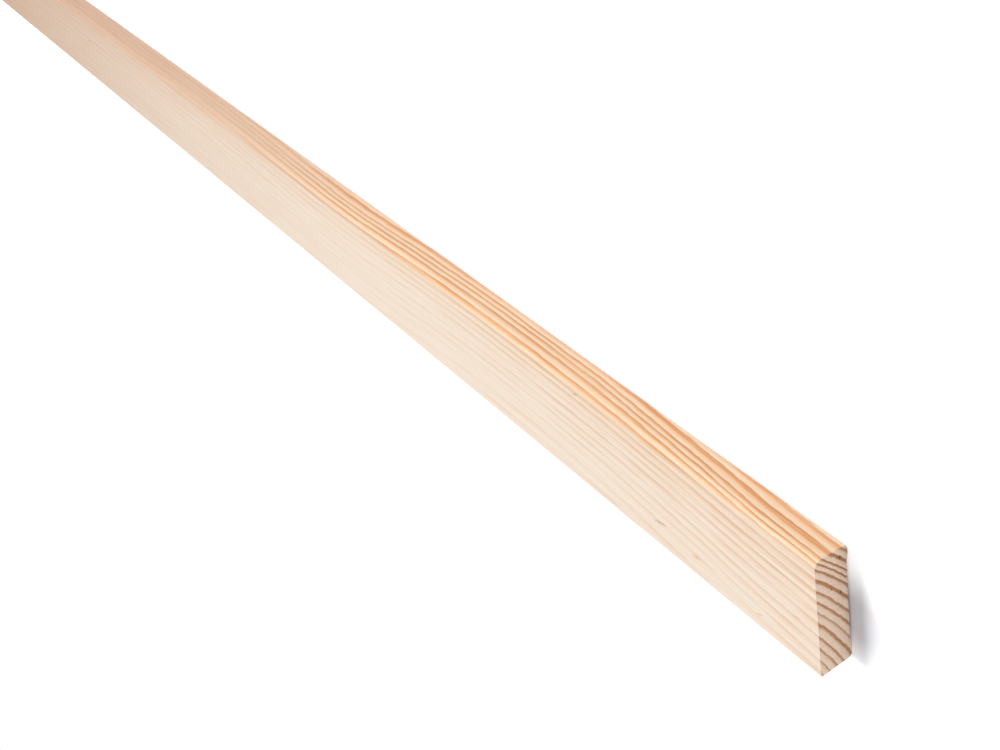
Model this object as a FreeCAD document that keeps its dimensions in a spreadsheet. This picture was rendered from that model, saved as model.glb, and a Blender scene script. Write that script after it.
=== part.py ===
"""A pine floor moulding: one planed strip of wood that covers the gap between a floor and a wall.

The strip lies on its back, as it does on a floor or a shelf.
X runs along its length. Y runs across its face, from the edge that meets the floor (-Y) to the edge
that is on top once it is fitted (+Y). Z runs through its thickness, from the back (0) to the face.
The origin is at the middle of the strip, under it. Lengths are in millimetres.
"""

import FreeCAD, Part
import os

import Sketcher

SIZES = {
    "stock_length": 2400,  # as sold
    "section_width": 45,  # height of the fitted moulding
    "section_thickness": 12,
    "face_top_radius": 3,  # the rounded edge that shows above the floor
    "back_top_radius": 2,
    "back_floor_radius": 2,
    "face_floor_radius": 0.4,  # only the sharpness taken off
    "floor_undercut": 1.1,  # how far the back stays clear of the floor, so that the face closes the gap
    "relief_depth": 0.5,  # shallow hollow that lets the back bear on two lands
    "relief_shoulder": 2,  # run of the slope from a land to the hollow
    "top_land": 4,
    "floor_land": 6,
}

ORIGIN = -1  # the sketcher's own number for the origin point and the horizontal axis
VERTICAL_AXIS = -2
START, END = 1, 2


def add_sizes(doc):
    """Puts every driving dimension in a spreadsheet cell of its own, under its name."""
    sheet = doc.addObject("Spreadsheet::Sheet", "sizes")
    for row, (name, value) in enumerate(SIZES.items(), start=1):
        sheet.set(f"A{row}", name)
        sheet.set(f"B{row}", str(value))
        sheet.setAlias(f"B{row}", name)
    doc.recompute()
    return sheet


def add_section_sketch(body, name):
    """An empty sketch on the body's own YZ plane, whose axes are the model's Y and Z."""
    plane = next(o for o in body.Origin.OriginFeatures if o.Role == "YZ_Plane")
    sketch = body.newObject("Sketcher::SketchObject", name)
    sketch.AttachmentSupport = [(plane, "")]
    sketch.MapMode = "FlatFace"
    return sketch


def add_closed_outline(sketch, points):
    """Draws straight lines from point to point and back to the first, joined at their ends."""
    corners = [FreeCAD.Vector(y, z, 0) for y, z in points]
    lines = [
        sketch.addGeometry(Part.LineSegment(corner, corners[(i + 1) % len(corners)]), False)
        for i, corner in enumerate(corners)
    ]
    for i, line in enumerate(lines):
        following = lines[(i + 1) % len(lines)]
        sketch.addConstraint(Sketcher.Constraint("Coincident", line, END, following, START))
    return lines


def drive(sketch, constraint, name, formula):
    """Adds a named dimension and ties it to the spreadsheet."""
    index = sketch.addConstraint(constraint)
    sketch.renameConstraint(index, name)
    sketch.setExpression(f"Constraints.{name}", formula)


def pad_section(body):
    """The blank: the strip's section with sharp corners, run out to the full length."""
    half = SIZES["section_width"] / 2
    thickness = SIZES["section_thickness"]
    sketch = add_section_sketch(body, "section")
    floor_edge, face, top_edge, back = add_closed_outline(
        sketch,
        [
            (-half + SIZES["floor_undercut"], 0),
            (-half, thickness),
            (half, thickness),
            (half, 0),
        ],
    )
    sketch.addConstraint(Sketcher.Constraint("Vertical", top_edge))
    sketch.addConstraint(Sketcher.Constraint("PointOnObject", back, START, ORIGIN))
    sketch.addConstraint(Sketcher.Constraint("PointOnObject", back, END, ORIGIN))
    sketch.addConstraint(Sketcher.Constraint("Symmetric", face, START, face, END, VERTICAL_AXIS))
    drive(
        sketch,
        Sketcher.Constraint("DistanceX", face, START, face, END, 2 * half),
        "width",
        "sizes.section_width",
    )
    drive(
        sketch,
        Sketcher.Constraint("DistanceY", top_edge, END, top_edge, START, thickness),
        "thickness",
        "sizes.section_thickness",
    )
    drive(
        sketch,
        Sketcher.Constraint("DistanceX", floor_edge, END, floor_edge, START, SIZES["floor_undercut"]),
        "undercut",
        "sizes.floor_undercut",
    )
    blank = body.newObject("PartDesign::Pad", "blank")
    blank.Profile = sketch
    blank.SideType = "Symmetric"
    blank.setExpression("Length", "sizes.stock_length")
    sketch.Visibility = False
    return blank


def cut_relief(body):
    """The shallow hollow down the back, between a land at the floor edge and a land at the top."""
    half = SIZES["section_width"] / 2
    depth = SIZES["relief_depth"]
    shoulder = SIZES["relief_shoulder"]
    floor_side = -half + SIZES["floor_land"]
    top_side = half - SIZES["top_land"]
    sketch = add_section_sketch(body, "relief_section")
    floor_slope, bed, top_slope, mouth = add_closed_outline(
        sketch,
        [
            (floor_side, 0),
            (floor_side + shoulder, depth),
            (top_side - shoulder, depth),
            (top_side, 0),
        ],
    )
    sketch.addConstraint(Sketcher.Constraint("Horizontal", bed))
    sketch.addConstraint(Sketcher.Constraint("PointOnObject", mouth, START, ORIGIN))
    sketch.addConstraint(Sketcher.Constraint("PointOnObject", mouth, END, ORIGIN))
    drive(
        sketch,
        Sketcher.Constraint("DistanceX", floor_slope, START, ORIGIN, START, -floor_side),
        "floor_side",
        "sizes.section_width / 2 - sizes.floor_land",
    )
    drive(
        sketch,
        Sketcher.Constraint("DistanceX", ORIGIN, START, mouth, START, top_side),
        "top_side",
        "sizes.section_width / 2 - sizes.top_land",
    )
    drive(
        sketch,
        Sketcher.Constraint("DistanceX", floor_slope, START, floor_slope, END, shoulder),
        "floor_shoulder",
        "sizes.relief_shoulder",
    )
    drive(
        sketch,
        Sketcher.Constraint("DistanceX", top_slope, START, top_slope, END, shoulder),
        "top_shoulder",
        "sizes.relief_shoulder",
    )
    drive(
        sketch,
        Sketcher.Constraint("DistanceY", floor_slope, START, floor_slope, END, depth),
        "depth",
        "sizes.relief_depth",
    )
    relief = body.newObject("PartDesign::Pocket", "relief")
    relief.Profile = sketch
    relief.SideType = "Symmetric"
    relief.setExpression("Length", "sizes.stock_length")
    sketch.Visibility = False
    return relief


def find_long_edge(shape, y, z):
    """The name of the edge that runs the whole length through the section's point (y, z)."""
    for number, edge in enumerate(shape.Edges, start=1):
        ends = [vertex.Point for vertex in edge.Vertexes]
        if len(ends) == 2 and all(abs(p.y - y) < 1e-6 and abs(p.z - z) < 1e-6 for p in ends):
            return f"Edge{number}"
    raise ValueError(f"no edge runs along the strip at y {y}, z {z}")


def round_edge(doc, body, name, y, z, radius_cell):
    """Rounds one long edge of the body's latest shape."""
    base = body.Tip
    fillet = body.newObject("PartDesign::Fillet", name)
    fillet.Base = (base, [find_long_edge(base.Shape, y, z)])
    fillet.setExpression("Radius", f"sizes.{radius_cell}")
    doc.recompute()
    return fillet


def round_edges(doc, body):
    """Rounds the four long edges, each to its own radius."""
    half = SIZES["section_width"] / 2
    thickness = SIZES["section_thickness"]
    back_floor = -half + SIZES["floor_undercut"]
    round_edge(doc, body, "face_top_round", half, thickness, "face_top_radius")
    round_edge(doc, body, "back_top_round", half, 0, "back_top_radius")
    round_edge(doc, body, "back_floor_round", back_floor, 0, "back_floor_radius")
    round_edge(doc, body, "face_floor_round", -half, thickness, "face_floor_radius")


def make_moulding(doc):
    """The whole strip, as one body."""
    body = doc.addObject("PartDesign::Body", "floor_moulding")
    body.Label = "floor_moulding"
    blank = pad_section(body)
    doc.recompute()
    relief = cut_relief(body)
    doc.recompute()
    if relief.Shape.Volume >= blank.Shape.Volume:
        raise ValueError("the relief cut nothing from the back")
    round_edges(doc, body)
    body.Placement = FreeCAD.Placement()
    return body


def check(doc, subparts):
    """Stops before anything is written if a feature failed or a shape is empty or not valid."""
    failed = [o.Name for o in doc.Objects if {"Invalid", "Error"} & set(o.State)]
    if failed:
        raise ValueError(f"these objects failed to rebuild: {failed}")
    for subpart in subparts:
        if subpart.Shape.isNull() or not subpart.Shape.isValid():
            raise ValueError(f"{subpart.Label} has no valid shape")


def main():
    doc = FreeCAD.newDocument("floor_moulding_stock")
    add_sizes(doc)
    subparts = [make_moulding(doc)]
    doc.recompute()
    check(doc, subparts)
    os.makedirs("parts", exist_ok=True)
    for subpart in subparts:
        subpart.Shape.exportStep(f"parts/{subpart.Label}.step")
        box = subpart.Shape.BoundBox
        print(
            f"{subpart.Label}: {len(subpart.Shape.Solids)} solid, "
            f"{box.XLength:.2f} x {box.YLength:.2f} x {box.ZLength:.2f} mm, "
            f"{subpart.Shape.Volume / 1e6:.4f} litres"
        )


main()
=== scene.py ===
# %% [markdown]
# # A pine floor moulding
#
# The strip is one planed length of pine. It covers the gap between a floor and a wall: the wide face
# shows, the rounded edge is on top, and the thin edge that meets the floor leans back a little.
# Here it lies on its back, as it would on a shelf. X runs along it, Y across its face towards the
# rounded edge, and Z out of its face. Everything is in metres.

import math

import bmesh
import bpy
from mathutils import Matrix, Vector


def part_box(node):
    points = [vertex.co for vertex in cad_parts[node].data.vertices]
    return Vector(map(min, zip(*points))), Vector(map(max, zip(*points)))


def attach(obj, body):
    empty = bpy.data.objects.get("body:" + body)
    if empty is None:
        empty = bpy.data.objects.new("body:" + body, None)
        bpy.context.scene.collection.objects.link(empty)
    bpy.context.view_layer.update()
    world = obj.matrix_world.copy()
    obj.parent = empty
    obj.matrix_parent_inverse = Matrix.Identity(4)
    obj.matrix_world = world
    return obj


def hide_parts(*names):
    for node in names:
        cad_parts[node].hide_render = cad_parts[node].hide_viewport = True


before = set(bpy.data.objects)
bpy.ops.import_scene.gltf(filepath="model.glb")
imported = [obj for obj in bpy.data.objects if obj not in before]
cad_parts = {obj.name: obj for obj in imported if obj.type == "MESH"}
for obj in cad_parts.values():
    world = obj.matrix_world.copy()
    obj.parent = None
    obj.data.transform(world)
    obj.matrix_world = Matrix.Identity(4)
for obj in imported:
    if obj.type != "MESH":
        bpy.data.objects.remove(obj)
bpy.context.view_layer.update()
box_low, box_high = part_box("floor_moulding")
print("CAD box in mm:", [round(1000 * v, 2) for v in (*box_low, *box_high)])

# %% [markdown]
# ## The section
#
# A moulding's section is planed in one pass, by a cutter whose shape never changes. So the section is
# described once, by its outer size from the frame and by a few radii and depths, and the whole strip
# follows from it.

# %% Sizes of the section
MM = 0.001
TOUCHING = 0.01 * MM  # closer than this counts as the same place
HALF_LENGTH = box_high.x
HALF_WIDTH = box_high.y
THICKNESS = box_high.z

FACE_TOP_RADIUS = 3 * MM
BACK_TOP_RADIUS = 2 * MM
BACK_FLOOR_RADIUS = 2 * MM
FACE_FLOOR_RADIUS = 0.4 * MM
FLOOR_UNDERCUT = 1.1 * MM
RELIEF_DEPTH = 0.5 * MM
RELIEF_SHOULDER = 2 * MM
TOP_LAND = 4 * MM
FLOOR_LAND = 6 * MM
SAWN_EDGE_WEAR = 0.15 * MM
print(f"strip {2000 * HALF_LENGTH:.0f} x {2000 * HALF_WIDTH:.0f} x {1000 * THICKNESS:.0f} mm")

# %% [markdown]
# ## The blank
#
# A box is the natural start, because the timber is a sawn rectangle before it is planed. Moving the two
# back corners of the floor edge gives the undercut. Each long edge is then bevelled by itself, because
# each has its own radius. A bevel is measured along the faces from the old edge, so the arc's radius is
# turned into that distance with the half-angle that the surface turns through.

# %% Start from a box and lean the floor edge back
def edges_along_strip(mesh, y, z):
    """The edges that run lengthways through one point of the section."""
    place = Vector((y, z))
    return [
        edge
        for edge in mesh.edges
        if all((Vector(vert.co.yz) - place).length < TOUCHING for vert in edge.verts)
    ]


strip_mesh = bmesh.new()
bmesh.ops.create_cube(strip_mesh, size=1)
bmesh.ops.scale(strip_mesh, vec=(2 * HALF_LENGTH, 2 * HALF_WIDTH, THICKNESS), verts=strip_mesh.verts)
bmesh.ops.translate(strip_mesh, vec=(0, 0, THICKNESS / 2), verts=strip_mesh.verts)
back_floor_verts = [v for v in strip_mesh.verts if v.co.y < 0 and v.co.z < THICKNESS / 2]
bmesh.ops.translate(strip_mesh, vec=(0, FLOOR_UNDERCUT, 0), verts=back_floor_verts)
print("blank:", len(strip_mesh.faces), "faces")

# %% Round the four long edges
arris = strip_mesh.verts.layers.float.new("arris")
UNDERCUT_LEAN = math.atan(FLOOR_UNDERCUT / THICKNESS)
LONG_EDGES = [
    (HALF_WIDTH, THICKNESS, FACE_TOP_RADIUS, 0, 14),
    (HALF_WIDTH, 0, BACK_TOP_RADIUS, 0, 10),
    (-HALF_WIDTH + FLOOR_UNDERCUT, 0, BACK_FLOOR_RADIUS, -UNDERCUT_LEAN, 10),
    (-HALF_WIDTH, THICKNESS, FACE_FLOOR_RADIUS, UNDERCUT_LEAN, 5),
]


def bevel_and_mark(mesh, edges, offset, segments):
    """Bevels edges into an arc, and marks the arc's vertices, which the materials darken as wear and as
    painted shade.
    """
    made = bmesh.ops.bevel(
        mesh,
        geom=edges,
        offset=offset,
        offset_type="OFFSET",
        affect="EDGES",
        segments=segments,
        profile=0.5,
        material=-1,
    )
    for vert in made["verts"]:
        vert[arris] = 1.0


for y, z, radius, lean, segments in LONG_EDGES:
    along_the_faces = radius * math.tan((math.pi / 2 + lean) / 2)
    bevel_and_mark(strip_mesh, edges_along_strip(strip_mesh, y, z), along_the_faces, segments)
print("rounded:", len(strip_mesh.faces), "faces")

# %% [markdown]
# ## The relief in the back
#
# A wide flat back would rock on an uneven wall, so the planer takes a shallow hollow out of it and leaves
# a land along each edge. Four cuts across the section mark where the slopes begin and end, and the back's
# vertices between the inner two are lifted to the hollow's depth.

# %% Cut the section lines and lift the hollow
def cut_across(mesh, axis, place):
    """Adds a loop of edges all round the strip, where a plane crosses it."""
    normal = Vector([float(i == "xyz".index(axis)) for i in range(3)])
    everything = mesh.verts[:] + mesh.edges[:] + mesh.faces[:]
    bmesh.ops.bisect_plane(mesh, geom=everything, dist=1e-7, plane_co=normal * place, plane_no=normal)


relief_low = -HALF_WIDTH + FLOOR_LAND
relief_high = HALF_WIDTH - TOP_LAND
for y in (relief_low, relief_low + RELIEF_SHOULDER, relief_high - RELIEF_SHOULDER, relief_high):
    cut_across(strip_mesh, "y", y)
hollow = [
    v
    for v in strip_mesh.verts
    if v.co.z < TOUCHING and relief_low + TOUCHING < v.co.y < relief_high - TOUCHING
]
bmesh.ops.translate(strip_mesh, vec=(0, 0, RELIEF_DEPTH), verts=hollow)
print("vertices lifted for the hollow:", len(hollow))

# %% [markdown]
# ## The sawn ends
#
# A saw leaves a crisp edge that handling soon softens. Both ends get a very small bevel all round, and
# their faces get the second material slot, because end grain is another surface: it shows the ends of the
# fibres, not their sides.

# %% Soften the sawn edges
def is_sawn(face):
    return abs(face.normal.x) > 0.9


sawn_outline = [e for e in strip_mesh.edges if sum(is_sawn(f) for f in e.link_faces) == 1]
bevel_and_mark(strip_mesh, sawn_outline, SAWN_EDGE_WEAR, 2)
for face in strip_mesh.faces:
    face.material_index = int(is_sawn(face))
print("end faces:", sum(f.material_index for f in strip_mesh.faces))

# %% [markdown]
# ## Cross cuts
#
# Long thin faces shade badly and can't take any unevenness. Cuts at an even pitch along each axis turn
# them into a grid. Near the sawn end that is seen closest, the pitch along the strip is finer.

# %% Divide the strip into a grid
ACROSS_PITCH = 1.5 * MM
THROUGH_PITCH = 2 * MM
NEAR_PITCH = 5 * MM
NEAR_LENGTH = 0.15
FAR_PITCH = 40 * MM


def spaced(low, high, pitch):
    """Places inside a stretch, evenly spaced and about a pitch apart."""
    count = round((high - low) / pitch)
    return [low + (high - low) * step / count for step in range(1, count)]


near_start = HALF_LENGTH - NEAR_LENGTH
for y in spaced(-HALF_WIDTH + FACE_TOP_RADIUS, HALF_WIDTH - FACE_TOP_RADIUS, ACROSS_PITCH):
    cut_across(strip_mesh, "y", y)
for z in spaced(0, THICKNESS, THROUGH_PITCH):
    cut_across(strip_mesh, "z", z)
for x in spaced(-HALF_LENGTH, near_start, FAR_PITCH) + spaced(near_start, HALF_LENGTH, NEAR_PITCH):
    cut_across(strip_mesh, "x", x)
print("grid:", len(strip_mesh.faces), "faces")

# %% Close the mesh and turn it into the moulding
bmesh.ops.remove_doubles(strip_mesh, verts=strip_mesh.verts, dist=0.001 * MM)
bmesh.ops.recalc_face_normals(strip_mesh, faces=strip_mesh.faces)
for face in strip_mesh.faces:
    face.smooth = True
open_edges = [e for e in strip_mesh.edges if not e.is_manifold]
moulding_data = bpy.data.meshes.new("pine_moulding")
strip_mesh.to_mesh(moulding_data)
strip_mesh.free()
moulding = bpy.data.objects.new("pine_moulding", moulding_data)
bpy.context.scene.collection.objects.link(moulding)
flat_faces_first = moulding.modifiers.new("even shading", "WEIGHTED_NORMAL")
flat_faces_first.mode = "FACE_AREA"
print("open edges:", len(open_edges), "vertices:", len(moulding_data.vertices))

# %% [markdown]
# ## Growing the wood
#
# Wood is a solid pattern: the bands on the sawn end are the same rings whose sides make the lines along
# the faces. So the pattern is worked out in space, from the distance to the tree's pith, which lies well
# outside this small strip. Both materials then read one node group, and the lines meet at the edges.
#
# A ring isn't a circle copied again and again. Some years are wide and some narrow, some end in a dark
# heavy band of latewood and some in a faint one. Curves hold that calendar. A third curve holds how far
# the rings drift as the fibres rise and dip along the strip.
#
# Within one year the wood darkens slowly. The node group gives that slow change as late summer, the band
# itself as latewood, and the thin dark line where growth stops as last growth. Each material tints the
# three in its own way.

# %% A few words for building node trees
def add_node(tree, kind, settings=None, inputs=None):
    """Adds a node. Settings are its properties, and each input is a value or a socket to link from."""
    made = tree.nodes.new(kind)
    for name, value in (settings or {}).items():
        setattr(made, name, value)
    for name, value in (inputs or {}).items():
        socket = made.inputs[name]
        if isinstance(value, bpy.types.NodeSocket):
            tree.links.new(value, socket)
        else:
            socket.default_value = value
    return made


def calculate(tree, operation, first, second=0.0, third=0.0):
    """One step of arithmetic."""
    inputs = {0: first, 1: second, 2: third}
    return add_node(tree, "ShaderNodeMath", {"operation": operation}, inputs).outputs[0]


def ramp_between(tree, value, low, high, at_low=0.0, at_high=1.0):
    """Goes smoothly from one value to another as its input passes from low to high."""
    settings = {"interpolation_type": "SMOOTHSTEP"}
    inputs = {"Value": value, "From Min": low, "From Max": high, "To Min": at_low, "To Max": at_high}
    return add_node(tree, "ShaderNodeMapRange", settings, inputs).outputs["Result"]


def mix_colours(tree, factor, first, second, blend="MIX"):
    """Mixes two colours, or darkens the first by the second with the MULTIPLY blend."""
    settings = {"data_type": "RGBA", "blend_type": blend}
    made = add_node(tree, "ShaderNodeMix", settings, {0: factor, 6: first, 7: second})
    return made.outputs[2]


def mix_values(tree, factor, first, second):
    """Mixes two plain values."""
    settings = {"data_type": "FLOAT"}
    return add_node(tree, "ShaderNodeMix", settings, {0: factor, 2: first, 3: second}).outputs[0]


def draw_curve(tree, value, points):
    """A curve through given points, over 0 to 1 both ways."""
    made = add_node(tree, "ShaderNodeFloatCurve", inputs={"Value": value})
    curve = made.mapping.curves[0]
    curve.points[0].location = points[0]
    curve.points[-1].location = points[-1]
    for x, y in points[1:-1]:
        curve.points.new(x, y)
    made.mapping.update()
    return made.outputs["Value"]


LENGTH_IN_MM = 2000 * HALF_LENGTH


def curve_along(tree, from_end, rows):
    """A curve from rows of a distance in mm from the sawn end and a value."""
    return draw_curve(tree, from_end, [(x / LENGTH_IN_MM, value) for x, value in rows])


def calculate_vector(tree, operation, first, second=(0, 0, 0)):
    """One step of arithmetic on places, such as how far apart they are."""
    return add_node(tree, "ShaderNodeVectorMath", {"operation": operation}, {0: first, 1: second})


def to_mm(tree, position):
    """Turns a place from metres into millimetres."""
    inputs = {0: position, "Scale": 1 / MM}
    return add_node(tree, "ShaderNodeVectorMath", {"operation": "SCALE"}, inputs).outputs[0]


def stretch(tree, position, scale, rotation=(0, 0, 0)):
    """Squeezes or turns the space that a pattern is drawn in."""
    inputs = {"Vector": position, "Scale": scale, "Rotation": rotation}
    return add_node(tree, "ShaderNodeMapping", inputs=inputs).outputs[0]


def noise_over(tree, position, scale, detail, roughness=0.5):
    """Smooth random values over space, mostly between 0.3 and 0.7."""
    inputs = {"Vector": position, "Scale": scale, "Detail": detail, "Roughness": roughness}
    return add_node(tree, "ShaderNodeTexNoise", inputs=inputs).outputs["Fac"]


def new_group(name, inputs, outputs):
    """An empty node group with named sockets, given as (name, kind, default) and (name, kind)."""
    group = bpy.data.node_groups.new(name, "ShaderNodeTree")
    for label, kind, default in inputs:
        made = group.interface.new_socket(label, in_out="INPUT", socket_type="NodeSocket" + kind)
        if default is not None:
            made.default_value = default
    for label, kind in outputs:
        group.interface.new_socket(label, in_out="OUTPUT", socket_type="NodeSocket" + kind)
    return group, group.nodes.new("NodeGroupInput"), group.nodes.new("NodeGroupOutput")


def use_group(tree, group, inputs):
    """Places a node group in a tree."""
    return add_node(tree, "ShaderNodeGroup", {"node_tree": group}, inputs)


print("node helpers ready")

# %% The tree's calendar
PITH_ACROSS = -57.0  # mm from the middle of the strip's width
PITH_ABOVE = 85.0  # mm above the back
RING_SPAN = (68.0, 126.0)  # mm from the pith, well past both sides of the strip

# Where each year's growth stops, in mm from the pith, and how heavy its latewood is.
YEARS = [
    (70.4, 0.5),
    (73.0, 0.6),
    (75.5, 0.5),
    (78.3, 0.7),
    (81.9, 0.35),
    (84.2, 0.6),
    (86.9, 0.65),
    (89.4, 0.72),
    (92.7, 0.8),
    (95.3, 0.58),
    (97.9, 0.8),
    (100.6, 0.75),
    (103.8, 0.9),
    (106.5, 0.85),
    (108.2, 0.95),
    (109.8, 0.9),
    (112.3, 1.0),
    (114.8, 0.75),
    (118.2, 0.6),
    (121.4, 0.8),
    (124.5, 0.5),
]

# How far the rings have moved outwards, in mm, at each distance in mm from the sawn end.
DRIFT_SPAN = (-4.0, 9.0)
DRIFT_LOSS = 0.015  # a ring further out follows a dip less, by this share for each mm
MIDDLE_RING = 96.0  # mm from the pith
DRIFT = [
    (0, 0.0),
    (30, 1.2),
    (60, 3.2),
    (80, 4.2),
    (100, 5.2),
    (125, 5.8),
    (160, 6.1),
    (190, 5.9),
    (220, 5.2),
    (245, 4.2),
    (270, 3.2),
    (295, 2.7),
    (325, 3.0),
    (370, 4.1),
    (420, 5.2),
    (490, 6.0),
    (590, 5.4),
    (700, 5.8),
    (860, 7.2),
    (1010, 5.3),
    (1150, 1.8),
    (1290, -0.6),
    (1430, 0.9),
    (1600, 4.6),
    (1790, 6.3),
    (1960, 3.2),
    (2140, 0.4),
    (2400, 2.6),
]

# How uneven the rings are, as the length and width of some waves in mm, and the share of each.
WAVES = [(45.0, 9.0, 2.0), (9.0, 2.0, 1.5), (3.0, 0.8, 0.9)]
RING_WANDER = 0.35

# When things happen in a year, as shares of its growth.
FAINT_START = 0.84  # latewood starts here in a faint year
HEAVY_EARLIER = 0.36  # and this much earlier in the heaviest one
LATEWOOD_RISE = 0.2
LATEWOOD_STOP = 0.93
SUMMER_BEFORE = 0.32  # late summer starts this much before the latewood
SUMMER_RISE_AFTER = 0.15
SUMMER_STOP = 0.9
LAST_GROWTH_RISE = (0.74, 0.9)
print(len(YEARS), "years, up to", YEARS[-1][0], "mm from the pith")

# %% The ring pattern as a node group
def share_of(value, span):
    """Where a value lies in a span, from 0 to 1."""
    return (value - span[0]) / (span[1] - span[0])


def build_growth_rings():
    """Position in metres goes in, and the latewood at that point comes out."""
    tree, entry, result = new_group(
        "Growth rings",
        [("Position", "Vector", None), ("Wander", "Float", RING_WANDER)],
        [("Latewood", "Float"), ("Late Summer", "Float"), ("Last Growth", "Float"), ("Ring Place", "Float")],
    )
    in_mm = to_mm(tree, entry.outputs["Position"])
    place = add_node(tree, "ShaderNodeSeparateXYZ", inputs={0: in_mm})
    across = calculate(tree, "SUBTRACT", place.outputs["Y"], PITH_ACROSS)
    above = calculate(tree, "SUBTRACT", place.outputs["Z"], PITH_ABOVE)
    flat = add_node(tree, "ShaderNodeCombineXYZ", inputs={"X": 0.0, "Y": across, "Z": above}).outputs[0]
    radius = calculate_vector(tree, "LENGTH", flat).outputs["Value"]

    # The drift along the strip.
    from_end = calculate(tree, "SUBTRACT", LENGTH_IN_MM / 2, place.outputs["X"])
    along = calculate(tree, "DIVIDE", from_end, LENGTH_IN_MM)
    drift_share = curve_along(tree, along, [(x, share_of(y, DRIFT_SPAN)) for x, y in DRIFT])
    drift = calculate(tree, "MULTIPLY_ADD", drift_share, DRIFT_SPAN[1] - DRIFT_SPAN[0], DRIFT_SPAN[0])
    more_inside = calculate(tree, "MULTIPLY_ADD", radius, -DRIFT_LOSS, 1 + DRIFT_LOSS * MIDDLE_RING)
    drift = calculate(tree, "MULTIPLY", drift, more_inside)

    # The unevenness of the rings.
    waves = 0.0
    for wave_length, wave_width, share in WAVES:
        squeezed = stretch(tree, in_mm, (1 / wave_length, 1 / wave_width, 1 / wave_width))
        centred = calculate(tree, "SUBTRACT", noise_over(tree, squeezed, 1.0, 1.0), 0.5)
        waves = calculate(tree, "MULTIPLY_ADD", centred, share, waves)
    wander = calculate(tree, "MULTIPLY", waves, entry.outputs["Wander"])
    ring_place = calculate(tree, "ADD", calculate(tree, "SUBTRACT", radius, drift), wander)

    # Which year it is, how far through it, and how heavy that year's latewood is.
    past_first = calculate(tree, "SUBTRACT", ring_place, RING_SPAN[0])
    ring_share = calculate(tree, "DIVIDE", past_first, RING_SPAN[1] - RING_SPAN[0])
    last = len(YEARS) + 1
    calendar = [(0.0, 0.0)]
    calendar += [(share_of(edge, RING_SPAN), (i + 1) / last) for i, (edge, _) in enumerate(YEARS)]
    calendar += [(1.0, 1.0)]
    years = calculate(tree, "MULTIPLY", draw_curve(tree, ring_share, calendar), last)
    phase = calculate(tree, "FRACT", years)
    heaviness_points = [(0.0, YEARS[0][1])]
    heaviness_points += [(share_of(edge - 0.5, RING_SPAN), heavy) for edge, heavy in YEARS]
    heaviness_points += [(1.0, YEARS[-1][1])]
    heaviness = draw_curve(tree, ring_share, heaviness_points)

    # The three parts of a year that show.
    start = calculate(tree, "MULTIPLY_ADD", heaviness, -HEAVY_EARLIER, FAINT_START)
    rise = ramp_between(tree, phase, start, calculate(tree, "ADD", start, LATEWOOD_RISE))
    fall = ramp_between(tree, phase, LATEWOOD_STOP, 1.0, 1.0, 0.0)
    latewood = calculate(tree, "MULTIPLY", calculate(tree, "MULTIPLY", rise, fall), heaviness)
    summer_start = calculate(tree, "SUBTRACT", start, SUMMER_BEFORE)
    summer_full = calculate(tree, "ADD", start, SUMMER_RISE_AFTER)
    summer_rise = ramp_between(tree, phase, summer_start, summer_full)
    summer_fall = ramp_between(tree, phase, SUMMER_STOP, 1.0, 1.0, 0.0)
    late_summer = calculate(tree, "MULTIPLY", summer_rise, summer_fall)
    last_rise = ramp_between(tree, phase, *LAST_GROWTH_RISE)
    last_growth = calculate(tree, "MULTIPLY", calculate(tree, "MULTIPLY", last_rise, fall), heaviness)

    tree.links.new(latewood, result.inputs["Latewood"])
    tree.links.new(late_summer, result.inputs["Late Summer"])
    tree.links.new(last_growth, result.inputs["Last Growth"])
    tree.links.new(ring_place, result.inputs["Ring Place"])
    return tree


growth_rings = build_growth_rings()
print("growth rings:", len(growth_rings.nodes), "nodes")

# %% [markdown]
# ## Fibres and flecks
#
# Between the rings, pine is a bundle of very thin fibres. On a planed face they show as fine streaks that
# are long one way and narrow the other, so the noise is stretched along X. Resin canals leave short dark
# dashes, and here and there a small pitch streak or a speck breaks the lines. A speck is a soft ellipsoid
# at a chosen place in the wood, with its edge roughened.

# %% Streaks along the grain
FIBRE_LENGTH = 40.0  # mm
FIBRE_WIDTH = 0.35
CANAL_LENGTH = 5.0
CANAL_WIDTH = 0.45


def build_fibres():
    """Fine streaks along the strip, and the short dashes of resin canals."""
    tree, entry, result = new_group(
        "Wood fibres",
        [("Position", "Vector", None), ("Length", "Float", FIBRE_LENGTH), ("Width", "Float", FIBRE_WIDTH)],
        [("Streak", "Float"), ("Canals", "Float")],
    )
    in_mm = to_mm(tree, entry.outputs["Position"])
    width = entry.outputs["Width"]
    size_inputs = {"X": entry.outputs["Length"], "Y": width, "Z": width}
    size = add_node(tree, "ShaderNodeCombineXYZ", inputs=size_inputs).outputs[0]
    squeezed = calculate_vector(tree, "DIVIDE", in_mm, size).outputs[0]
    streak = noise_over(tree, squeezed, 1.0, 3.0, 0.6)
    dashes = stretch(tree, in_mm, (1 / CANAL_LENGTH, 1 / CANAL_WIDTH, 1 / CANAL_WIDTH))
    cells = add_node(
        tree, "ShaderNodeTexVoronoi", {"feature": "F1"}, {"Vector": dashes, "Scale": 1.0, "Randomness": 1.0}
    )
    near_middle = ramp_between(tree, cells.outputs["Distance"], 0.12, 0.3, 1.0, 0.0)
    chosen = add_node(tree, "ShaderNodeSeparateColor", inputs={0: cells.outputs["Color"]}).outputs[0]
    few = ramp_between(tree, chosen, 0.8, 0.86)
    tree.links.new(streak, result.inputs["Streak"])
    tree.links.new(calculate(tree, "MULTIPLY", near_middle, few), result.inputs["Canals"])
    return tree


wood_fibres = build_fibres()
print("fibres:", len(wood_fibres.nodes), "nodes")

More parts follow.
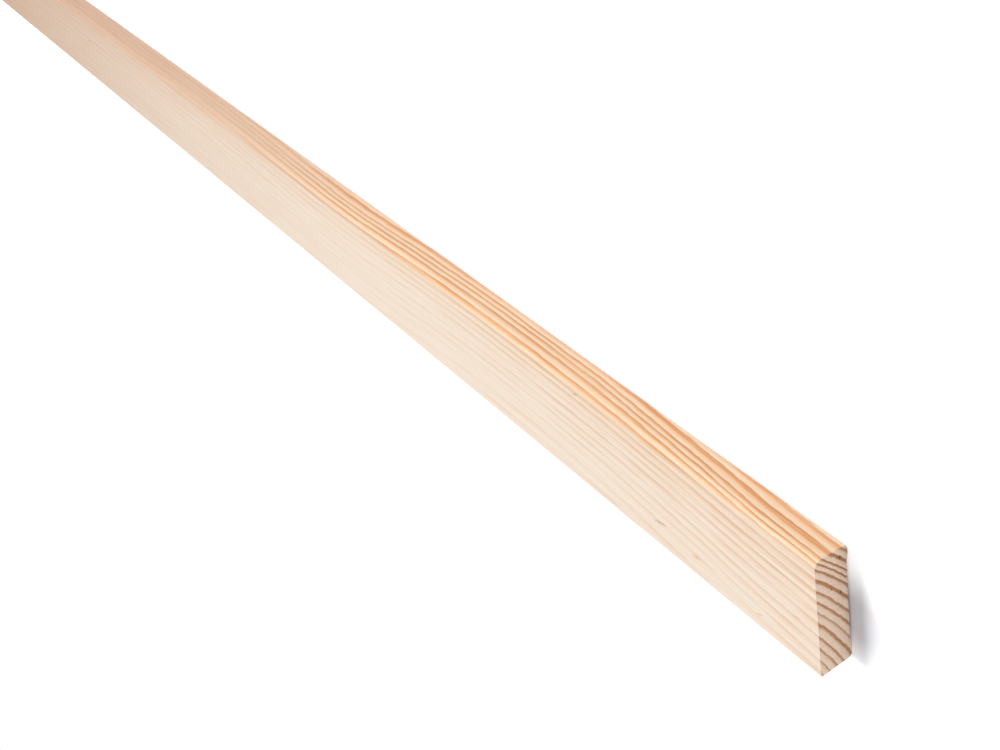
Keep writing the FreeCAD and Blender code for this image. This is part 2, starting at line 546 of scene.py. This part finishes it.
# %% One speck at a chosen place
def build_fleck():
    """A soft ellipsoid in the wood, 1 in its middle and 0 outside."""
    tree, entry, result = new_group(
        "Fleck",
        [
            ("Position", "Vector", None),
            ("Centre", "Vector", (0, 0, 0)),
            ("Size", "Vector", (1, 1, 1)),
            ("Lean", "Float", 0.0),
        ],
        [("Mask", "Float")],
    )
    away = calculate_vector(tree, "SUBTRACT", entry.outputs["Position"], entry.outputs["Centre"]).outputs[0]
    along = add_node(tree, "ShaderNodeSeparateXYZ", inputs={0: away}).outputs["X"]
    sideways = calculate(tree, "MULTIPLY", along, entry.outputs["Lean"])
    sideways = add_node(tree, "ShaderNodeCombineXYZ", inputs={"Y": sideways}).outputs[0]
    leaning = calculate_vector(tree, "SUBTRACT", away, sideways).outputs[0]
    scaled = calculate_vector(tree, "DIVIDE", leaning, entry.outputs["Size"]).outputs[0]
    distance = calculate_vector(tree, "LENGTH", scaled).outputs["Value"]
    ragged = calculate(tree, "MULTIPLY_ADD", noise_over(tree, scaled, 1.6, 2.0), 0.9, -0.45)
    mask = ramp_between(tree, calculate(tree, "ADD", distance, ragged), 0.3, 1.0, 1.0, 0.0)
    tree.links.new(mask, result.inputs["Mask"])
    return tree


fleck = build_fleck()
print("fleck:", len(fleck.nodes), "nodes")

# %% [markdown]
# ## The planed faces
#
# The wide face was sanded after planing, which leaves its lines pale. The rounded edge and the narrow
# edges weren't, so there the latewood keeps its strong orange. A mask from the height and the width of
# the strip says which is which. Its border could be a straight line, but sanding never stops so neatly:
# here it fades over some millimetres and follows a patchy noise, in a quick first part and a slow rest.
#
# Both kinds of surface get a colour for each part of the year, and two sets of curves along the strip.
# One says how clearly the lines show, and the other how far the wood is darkened and turned from cream to
# tan away from the sawn end: painted shade, like the falloff of light from a lamp near that end, with a
# tan hue in the wood.

# %% Colours
SANDED_EARLYWOOD = (0.935, 0.85, 0.755, 1)
SANDED_LATE_SUMMER = (0.925, 0.725, 0.56, 1)
GREY_LATE_SUMMER = (0.895, 0.765, 0.655, 1)
SANDED_LATEWOOD = (0.82, 0.58, 0.39, 1)
EDGE_EARLYWOOD = (0.90, 0.735, 0.57, 1)
EDGE_LATE_SUMMER = (0.89, 0.575, 0.34, 1)
EDGE_LATEWOOD = (0.75, 0.37, 0.15, 1)
FACE_TAN_AND_SHADE = (0.62, 0.50, 0.42, 1)
EDGE_TAN_AND_SHADE = (0.61, 0.47, 0.44, 1)
LAST_GROWTH = (0.56, 0.235, 0.09, 1)
RESIN = (0.60, 0.27, 0.10, 1)
SPECK = (0.45, 0.31, 0.25, 1)
STREAK_TINT = (0.93, 0.85, 0.78, 1)
# Darkens the rounded arrises: painted shade over their brightly lit band, together with wear from handling.
ARRIS_WEAR_AND_SHADE = (0.90, 0.80, 0.70, 1)

# How far the colour is darkened by painted shade and turned to tan, at each distance in mm from the sawn
# end.
TAN_AND_SHADE_ALONG = [
    (0, 0.0),
    (150, 0.015),
    (260, 0.055),
    (400, 0.23),
    (490, 0.36),
    (560, 0.5),
    (650, 0.68),
    (760, 0.87),
    (880, 1.0),
    (1150, 0.75),
    (1700, 0.4),
    (2400, 0.2),
]
# The same painted shade and tan for the rounded edge and the narrow edges.
EDGE_TAN_AND_SHADE_ALONG = [
    (0, 0.0),
    (240, 0.04),
    (330, 0.25),
    (420, 0.46),
    (500, 0.58),
    (650, 0.72),
    (760, 0.88),
    (880, 1.0),
    (1150, 0.75),
    (1700, 0.4),
    (2400, 0.2),
]

# How clearly the rings show on the long faces, in the same way.
LINES_ALONG = [
    (0, 1.0),
    (50, 0.85),
    (120, 0.66),
    (200, 0.46),
    (280, 0.3),
    (400, 0.24),
    (600, 0.25),
    (900, 0.45),
    (1300, 0.7),
    (1800, 0.55),
    (2400, 0.75),
]
EDGE_LINES_ALONG = [
    (0, 0.95),
    (150, 1.0),
    (260, 0.95),
    (320, 0.65),
    (390, 0.3),
    (480, 0.14),
    (700, 0.14),
    (1000, 0.4),
    (1500, 0.9),
    (2400, 0.8),
]
print("colours ready")

# %% The planed material
def new_material(name):
    """An empty material with its shader and its output in place."""
    material = bpy.data.materials.new(name)
    material.use_nodes = True
    tree = material.node_tree
    return material, tree, tree.nodes["Principled BSDF"]


def object_position(tree):
    """Where a point is on the strip, in metres."""
    return add_node(tree, "ShaderNodeTexCoord").outputs["Object"]


def ramp_linear(tree, value, low, high):
    """Goes evenly from 0 to 1 as its input passes from low to high."""
    inputs = {"Value": value, "From Min": low, "From Max": high}
    return add_node(tree, "ShaderNodeMapRange", inputs=inputs).outputs["Result"]


def along_share(tree, position):
    """How far along the strip a point is, from the sawn end at 0 to the far end at 1."""
    x = add_node(tree, "ShaderNodeSeparateXYZ", inputs={0: position}).outputs["X"]
    return ramp_linear(tree, x, HALF_LENGTH, -HALF_LENGTH)


# Where the sanding reaches. Depths are from the face, and places from the rounded edge, with a minus
# sign for what lies inside it.
SANDED_DEPTHS = (-1.2 * MM, -0.2 * MM)
QUICK_BORDER = (0.6 * MM, -2.2 * MM)
SLOW_BORDER = (-1 * MM, -16 * MM)
QUICK_SHARE = 0.72
PATCH_SCALE = (30.0, 320.0, 320.0)  # patches about 33 mm long and 3 mm wide
PATCH_SHIFT = 2.5 * MM
LESS_SANDED_FROM = 30 * MM  # from the sawn end, where the border starts to move further in
LESS_SANDED_TO = 75 * MM
LESS_SANDED_SHIFT = 1.3 * MM
PEACH_LENGTH = 160  # mm from the sawn end over which the face's lines turn from peach to grey

FLECKS = [
    # mm from the sawn end, mm above the floor edge, half sizes in mm (along, deep, across), lean,
    # colour, strength
    (76.0, 10.7, (4.8, 1.6, 1.0), 0.22, RESIN, 0.5),
    (118.5, 40.2, (2.2, 3.0, 0.8), 0.3, SPECK, 0.5),
    (57.5, 8.2, (3.0, 2.0, 1.0), 0.2, RESIN, 0.32),
    (27.0, 5.6, (2.0, 1.5, 0.6), 0.3, RESIN, 0.35),
    (9.5, 17.4, (2.4, 1.5, 0.5), 0.1, RESIN, 0.45),
    (640.0, 29.0, (5.0, 2.0, 0.9), 0.1, RESIN, 0.6),
    (1120.0, 14.0, (3.0, 2.0, 0.8), 0.2, SPECK, 0.6),
    (1765.0, 33.0, (6.0, 2.0, 0.8), 0.1, RESIN, 0.7),
]


def build_planed_pine():
    """The long faces."""
    material, tree, shader = new_material("planed pine")
    position = object_position(tree)
    place = add_node(tree, "ShaderNodeSeparateXYZ", inputs={0: position})
    rings = use_group(tree, growth_rings, {"Position": position, "Wander": RING_WANDER})
    fibre_inputs = {"Position": position, "Length": FIBRE_LENGTH, "Width": FIBRE_WIDTH}
    fibres = use_group(tree, wood_fibres, fibre_inputs)
    streak = fibres.outputs["Streak"]
    from_end = along_share(tree, position)

    # Where the surface is sanded.
    patch = noise_over(tree, stretch(tree, position, PATCH_SCALE), 1.0, 1.0)
    depths = [THICKNESS + depth for depth in SANDED_DEPTHS]
    on_face = ramp_between(tree, place.outputs["Z"], *depths)
    uneven_place = calculate(tree, "MULTIPLY_ADD", patch, PATCH_SHIFT, place.outputs["Y"])
    near_end = HALF_LENGTH - LESS_SANDED_FROM
    past_end = HALF_LENGTH - LESS_SANDED_TO
    less_sanded = ramp_between(tree, place.outputs["X"], near_end, past_end, 0.0, LESS_SANDED_SHIFT)
    uneven_place = calculate(tree, "ADD", uneven_place, less_sanded)
    quick_border = [HALF_WIDTH + border for border in QUICK_BORDER]
    slow_border = [HALF_WIDTH + border for border in SLOW_BORDER]
    first_part = ramp_between(tree, uneven_place, *quick_border, 0.0, QUICK_SHARE)
    last_part = ramp_between(tree, uneven_place, *slow_border, 0.0, 1 - QUICK_SHARE)
    sanded = calculate(tree, "MULTIPLY", on_face, calculate(tree, "ADD", first_part, last_part))

    # How clearly the lines show.
    face_show = curve_along(tree, from_end, LINES_ALONG)
    edge_show = curve_along(tree, from_end, EDGE_LINES_ALONG)
    clear_streaks = calculate(tree, "MULTIPLY_ADD", face_show, 0.6, 0.4)
    patchy = ramp_between(tree, patch, 0.35, 0.62, 0.4, 1.2)
    lower_down = ramp_between(tree, place.outputs["Y"], 6 * MM, -18 * MM, 1.0, 0.62)
    face_show = calculate(tree, "MULTIPLY", calculate(tree, "MULTIPLY", face_show, patchy), lower_down)
    show = mix_values(tree, sanded, edge_show, face_show)
    broken = ramp_between(tree, streak, 0.3, 0.6, 0.5, 1.1)

    # The parts of a year, each in its colour.
    warm = ramp_between(tree, from_end, 0.0, PEACH_LENGTH / LENGTH_IN_MM, 1.0, 0.3)
    warm = calculate(tree, "MULTIPLY", warm, ramp_between(tree, patch, 0.38, 0.58, 0.45, 1.0))
    earlywood = mix_colours(tree, sanded, EDGE_EARLYWOOD, SANDED_EARLYWOOD)
    sanded_late_summer = mix_colours(tree, warm, GREY_LATE_SUMMER, SANDED_LATE_SUMMER)
    late_summer = mix_colours(tree, sanded, EDGE_LATE_SUMMER, sanded_late_summer)
    latewood = mix_colours(tree, sanded, EDGE_LATEWOOD, SANDED_LATEWOOD)
    summer_share = calculate(tree, "MULTIPLY", rings.outputs["Late Summer"], show)
    colour = mix_colours(tree, summer_share, earlywood, late_summer)
    latewood_share = calculate(tree, "MULTIPLY", rings.outputs["Latewood"], show)
    latewood_share = calculate(tree, "MULTIPLY", latewood_share, mix_values(tree, sanded, 1.0, 0.6))
    latewood_share = calculate(tree, "MULTIPLY", latewood_share, broken)
    colour = mix_colours(tree, latewood_share, colour, latewood)
    last_share = calculate(tree, "MULTIPLY", rings.outputs["Last Growth"], show)
    last_share = calculate(tree, "MULTIPLY", last_share, mix_values(tree, sanded, 0.45, 0.26))
    colour = mix_colours(tree, calculate(tree, "MULTIPLY", last_share, broken), colour, LAST_GROWTH)

    # Streaks and resin canals.
    streak_tone = ramp_between(tree, streak, 0.35, 0.68, 0.0, 0.25)
    streak_tone = calculate(tree, "MULTIPLY", streak_tone, clear_streaks)
    colour = mix_colours(tree, streak_tone, colour, STREAK_TINT, "MULTIPLY")
    canal_tone = calculate(tree, "MULTIPLY", fibres.outputs["Canals"], 0.18)
    colour = mix_colours(tree, canal_tone, colour, RESIN)

    # The turn to tan, with painted shade that darkens the strip away from the sawn end.
    edge_tan_and_shade_share = curve_along(tree, from_end, EDGE_TAN_AND_SHADE_ALONG)
    face_tan_and_shade_share = curve_along(tree, from_end, TAN_AND_SHADE_ALONG)
    tan_and_shade_share = mix_values(tree, sanded, edge_tan_and_shade_share, face_tan_and_shade_share)
    tan = mix_colours(tree, sanded, EDGE_TAN_AND_SHADE, FACE_TAN_AND_SHADE)
    colour = mix_colours(tree, tan_and_shade_share, colour, tan, "MULTIPLY")

    for from_sawn_end, above_floor, (along, deep, across), lean, tint, strength in FLECKS:
        centre = (HALF_LENGTH - from_sawn_end * MM, above_floor * MM - HALF_WIDTH, THICKNESS)
        size = (along * MM, across * MM, deep * MM)
        spot_inputs = {"Position": position, "Centre": centre, "Size": size, "Lean": lean}
        spot = use_group(tree, fleck, spot_inputs)
        spot_share = calculate(tree, "MULTIPLY", spot.outputs["Mask"], strength)
        colour = mix_colours(tree, spot_share, colour, tint)

    # Painted shade on the rounded arrises, which tones down their brightly lit band, together with wear from
    # handling.
    on_arris = add_node(tree, "ShaderNodeAttribute", {"attribute_name": "arris"}).outputs["Fac"]
    wear_and_shade_share = ramp_between(tree, streak, 0.3, 0.7, 0.45, 0.95)
    colour = mix_colours(tree, calculate(tree, "MULTIPLY", wear_and_shade_share, on_arris), colour, ARRIS_WEAR_AND_SHADE, "MULTIPLY")
    tree.links.new(colour, shader.inputs["Base Color"])

    roughness = ramp_between(tree, latewood_share, 0.0, 1.0, 0.62, 0.5)
    tree.links.new(roughness, shader.inputs["Roughness"])
    shader.inputs["Specular IOR Level"].default_value = 0.3

    fibre_height = calculate(tree, "MULTIPLY", streak, 0.7)
    ridges = calculate(tree, "MULTIPLY_ADD", latewood_share, 0.6, fibre_height)
    bump_inputs = {"Strength": 0.6, "Distance": 0.06 * MM, "Height": ridges}
    bump = add_node(tree, "ShaderNodeBump", inputs=bump_inputs)
    tree.links.new(bump.outputs["Normal"], shader.inputs["Normal"])
    return material


planed_pine = build_planed_pine()
print("planed pine:", len(planed_pine.node_tree.nodes), "nodes")

# %% [markdown]
# ## The sawn ends
#
# End grain is darker and greyer than the faces, because its open cells trap light. The earlywood is a
# dull beige, the latewood a strong brown with small dark cells in it, and very fine pale rays cross the
# rings at right angles. A few drying checks open along those rays.

# %% The end-grain material
END_EARLYWOOD = (0.955, 0.765, 0.62, 1)
END_LATE_SUMMER = (0.84, 0.58, 0.385, 1)
END_LATEWOOD = (0.51, 0.235, 0.1, 1)
END_SPECKLE = (0.74, 0.62, 0.55, 1)
END_DARK = (0.16, 0.085, 0.055, 1)
RAY_TINT = (0.88, 0.83, 0.78, 1)
BLOTCH_TINT = (0.90, 0.86, 0.83, 1)
RAY_RADIUS = 98.0  # mm from the pith, where a turn is made a distance
SAW_TILT = math.radians(12)
CHECKS = [
    # mm above the floor edge, mm above the back, half length and half width in mm
    (31.9, 6.6, 0.8, 0.3),
    (28.5, 3.3, 0.9, 0.35),
    (29.6, 4.6, 0.5, 0.22),
    (41.6, 3.0, 1.2, 0.45),
]


def build_end_grain():
    """The two sawn faces."""
    material, tree, shader = new_material("sawn end grain")
    position = object_position(tree)
    place = add_node(tree, "ShaderNodeSeparateXYZ", inputs={0: position})
    rings = use_group(tree, growth_rings, {"Position": position, "Wander": RING_WANDER})
    in_mm = to_mm(tree, position)

    # The rings, with uneven latewood.
    cells = noise_over(tree, in_mm, 3.2, 3.0, 0.7)
    mottled = ramp_between(tree, cells, 0.3, 0.62, 0.75, 1.3)
    latewood_share = calculate(tree, "MULTIPLY", rings.outputs["Latewood"], mottled)
    summer_share = calculate(tree, "MULTIPLY", rings.outputs["Late Summer"], 0.55)
    colour = mix_colours(tree, summer_share, END_EARLYWOOD, END_LATE_SUMMER)
    colour = mix_colours(tree, latewood_share, colour, END_LATEWOOD)

    # Dark cells in the latewood.
    dots = add_node(tree, "ShaderNodeTexVoronoi", inputs={"Vector": in_mm, "Scale": 1.1, "Randomness": 1.0})
    dot = ramp_between(tree, dots.outputs["Distance"], 0.1, 0.28, 1.0, 0.0)
    in_latewood = ramp_between(tree, rings.outputs["Latewood"], 0.25, 0.7)
    dot_share = calculate(tree, "MULTIPLY", calculate(tree, "MULTIPLY", dot, in_latewood), 0.55)
    colour = mix_colours(tree, dot_share, colour, END_DARK)

    # Rays, which run out from the pith.
    across = calculate(tree, "MULTIPLY_ADD", place.outputs["Y"], 1 / MM, -PITH_ACROSS)
    above = calculate(tree, "MULTIPLY_ADD", place.outputs["Z"], 1 / MM, -PITH_ABOVE)
    turn = calculate(tree, "MULTIPLY", calculate(tree, "ARCTAN2", across, above), RAY_RADIUS)
    round_ring = calculate(tree, "MULTIPLY", turn, 3.0)
    outwards = calculate(tree, "MULTIPLY", rings.outputs["Ring Place"], 0.25)
    ray_place = add_node(tree, "ShaderNodeCombineXYZ", inputs={"X": round_ring, "Y": outwards}).outputs[0]
    ray_tone = ramp_between(tree, noise_over(tree, ray_place, 1.0, 2.0), 0.35, 0.7, 0.0, 0.3)
    colour = mix_colours(tree, ray_tone, colour, RAY_TINT, "MULTIPLY")

    # Specks and larger blotches.
    speck_tone = ramp_between(tree, noise_over(tree, in_mm, 1.1, 2.0, 0.6), 0.45, 0.75, 0.0, 0.42)
    colour = mix_colours(tree, speck_tone, colour, END_SPECKLE, "MULTIPLY")
    blotch_tone = ramp_between(tree, noise_over(tree, in_mm, 0.35, 2.0), 0.3, 0.7, 0.0, 0.35)
    colour = mix_colours(tree, blotch_tone, colour, BLOTCH_TINT, "MULTIPLY")

    for above_floor, above_back, half_length, half_width in CHECKS:
        centre = (HALF_LENGTH, above_floor * MM - HALF_WIDTH, above_back * MM)
        size = (2 * MM, half_length * MM, half_width * MM)
        crack = use_group(tree, fleck, {"Position": position, "Centre": centre, "Size": size})
        colour = mix_colours(tree, calculate(tree, "MULTIPLY", crack.outputs["Mask"], 0.9), colour, END_DARK)

    # The small sawn bevel is darkened a little with the same wear and shade tint.
    on_arris = add_node(tree, "ShaderNodeAttribute", {"attribute_name": "arris"}).outputs["Fac"]
    colour = mix_colours(tree, calculate(tree, "MULTIPLY", on_arris, 0.4), colour, ARRIS_WEAR_AND_SHADE, "MULTIPLY")
    tree.links.new(colour, shader.inputs["Base Color"])
    shader.inputs["Specular IOR Level"].default_value = 0.15
    tree.links.new(ramp_between(tree, cells, 0.3, 0.7, 0.85, 0.7), shader.inputs["Roughness"])

    # Saw scratches, cells and hard latewood make the surface uneven.
    scratches = noise_over(tree, stretch(tree, in_mm, (1, 0.12, 3.0), (SAW_TILT, 0, 0)), 1.0, 3.0)
    rough_saw = calculate(tree, "ADD", cells, scratches)
    height = calculate(tree, "MULTIPLY_ADD", rings.outputs["Latewood"], 0.5, rough_saw)
    bump_inputs = {"Strength": 0.7, "Distance": 0.08 * MM, "Height": height}
    bump = add_node(tree, "ShaderNodeBump", inputs=bump_inputs)
    tree.links.new(bump.outputs["Normal"], shader.inputs["Normal"])
    return material


sawn_end_grain = build_end_grain()
print("sawn end grain:", len(sawn_end_grain.node_tree.nodes), "nodes")

# %% [markdown]
# ## Into the frame
#
# Slot 0 holds the planed faces and slot 1 the sawn ends. The strip rides on the only body, stands in for
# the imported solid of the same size, and its stuff is named pine.

# %% Dress the moulding and put it in the frame
moulding_data.materials.append(planed_pine)
moulding_data.materials.append(sawn_end_grain)
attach(moulding, "root")
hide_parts("floor_moulding")
print("materials on the strip:", [m.name for m in moulding_data.materials])

# %% [markdown]
# ## The studio
#
# The floor is a wide pale sheet that works like a light table: it has a glow that only the camera and
# mirrors see, so it looks white and gives the strip no extra light. The glow is left out in a small patch
# beside the sawn end, and there the strip's soft shadow shows.
#
# The world gives an even, slightly cool light from all round, and is plain white where the camera sees
# it. Three broad lamps shape the strip. The key stands above and behind its far part, so the wide face is
# the brightest. A second lights the rounded edge, and a weaker one keeps the sawn end in soft shade.

# %% Floor
FLOOR_SIZE = 60.0
FLOOR_COLOUR = (0.93, 0.93, 0.94, 1)
FLOOR_GLOW = 0.5
DIM_PATCH = (HALF_LENGTH + 4 * MM, -4.5 * MM, 0)  # where the floor doesn't glow
PATCH_RADII = (5 * MM, 23 * MM)  # the glow starts at the first, and is full at the second


def build_floor():
    mesh = bmesh.new()
    bmesh.ops.create_grid(mesh, x_segments=1, y_segments=1, size=FLOOR_SIZE / 2)
    data = bpy.data.meshes.new("studio_floor")
    mesh.to_mesh(data)
    mesh.free()
    floor = bpy.data.objects.new("studio_floor", data)
    bpy.context.scene.collection.objects.link(floor)

    material, tree, shader = new_material("pale floor")
    shader.inputs["Base Color"].default_value = FLOOR_COLOUR
    shader.inputs["Roughness"].default_value = 1.0
    shader.inputs["Specular IOR Level"].default_value = 0.0
    path = add_node(tree, "ShaderNodeLightPath")
    seen = calculate(tree, "MAXIMUM", path.outputs["Is Camera Ray"], path.outputs["Is Glossy Ray"])
    off_patch = calculate_vector(tree, "DISTANCE", object_position(tree), DIM_PATCH).outputs["Value"]
    from_below = ramp_between(tree, off_patch, *PATCH_RADII, 0.0, FLOOR_GLOW)
    glow_strength = calculate(tree, "MULTIPLY", seen, from_below)
    glow = add_node(tree, "ShaderNodeEmission", inputs={"Strength": glow_strength})
    both = add_node(tree, "ShaderNodeAddShader", inputs={0: shader.outputs[0], 1: glow.outputs[0]})
    tree.links.new(both.outputs[0], tree.nodes["Material Output"].inputs["Surface"])
    data.materials.append(material)


build_floor()
print("floor:", FLOOR_SIZE, "m wide")

# %% World
SKY_TINT = (0.85, 0.97, 1.12, 1)


def build_world(strength):
    world = bpy.data.worlds.new("studio")
    bpy.context.scene.world = world
    world.use_nodes = True
    tree = world.node_tree
    background = tree.nodes["Background"]
    path = add_node(tree, "ShaderNodeLightPath")
    seen = calculate(tree, "MAXIMUM", path.outputs["Is Camera Ray"], path.outputs["Is Glossy Ray"])
    tree.links.new(mix_colours(tree, seen, SKY_TINT, (1, 1, 1, 1)), background.inputs["Color"])
    level = add_node(
        tree, "ShaderNodeMapRange", inputs={"Value": seen, "To Min": strength, "To Max": 1.0}
    ).outputs["Result"]
    tree.links.new(level, background.inputs["Strength"])


WORLD_LIGHT = 0.335
build_world(WORLD_LIGHT)
print("world light:", WORLD_LIGHT)

# %% Lamps
def add_sun(name, direction, strength, softness, colour=(1, 1, 1)):
    """A distant lamp that shines from a direction. Softness is how wide it looks, in degrees."""
    data = bpy.data.lights.new(name, "SUN")
    data.color = colour
    data.energy = strength
    data.angle = math.radians(softness)
    lamp = bpy.data.objects.new(name, data)
    lamp.rotation_euler = Vector(direction).to_track_quat("Z", "Y").to_euler()
    bpy.context.scene.collection.objects.link(lamp)


add_sun("key_lamp", (-0.56, 0.06, 0.83), strength=2.08, softness=26, colour=(1.05, 1.01, 0.96))
add_sun("edge_lamp", (-0.1, 0.9, 0.4), strength=1.0, softness=60)
add_sun("end_lamp", (0.9, 0.42, 0.14), strength=0.92, softness=30)

# %% [markdown]
# ## The camera
#
# It stands off the near sawn end, on the side of the rounded edge, and is turned about its own axis so
# that the strip runs from the lower right to the upper left. It looks down by about 21 degrees.

# %% Camera
CAMERA_FROM_END = Vector((0.2414, 0.3102, 0.2085))
LOOKS_ALONG = Vector((-0.7468, -0.5627, -0.3544)).normalized()
TOP_OF_PICTURE = Vector((-0.4126, 0.8100, -0.4167))
LENS = 54.14


def add_camera(location, forward, upward, lens):
    data = bpy.data.cameras.new("camera")
    data.lens = lens
    data.sensor_width = 36
    data.clip_start = 0.01
    data.clip_end = 200
    camera = bpy.data.objects.new("camera", data)
    right = forward.cross(upward).normalized()
    upward = right.cross(forward)
    turn = Matrix((right, upward, -forward)).transposed()
    camera.matrix_world = Matrix.Translation(location) @ turn.to_4x4()
    bpy.context.scene.collection.objects.link(camera)
    bpy.context.scene.camera = camera
    return camera


camera = add_camera(Vector((HALF_LENGTH, 0, 0)) + CAMERA_FROM_END, LOOKS_ALONG, TOP_OF_PICTURE, LENS)
bpy.context.scene.view_settings.view_transform = "Standard"
print("camera at", [round(v, 3) for v in camera.location])
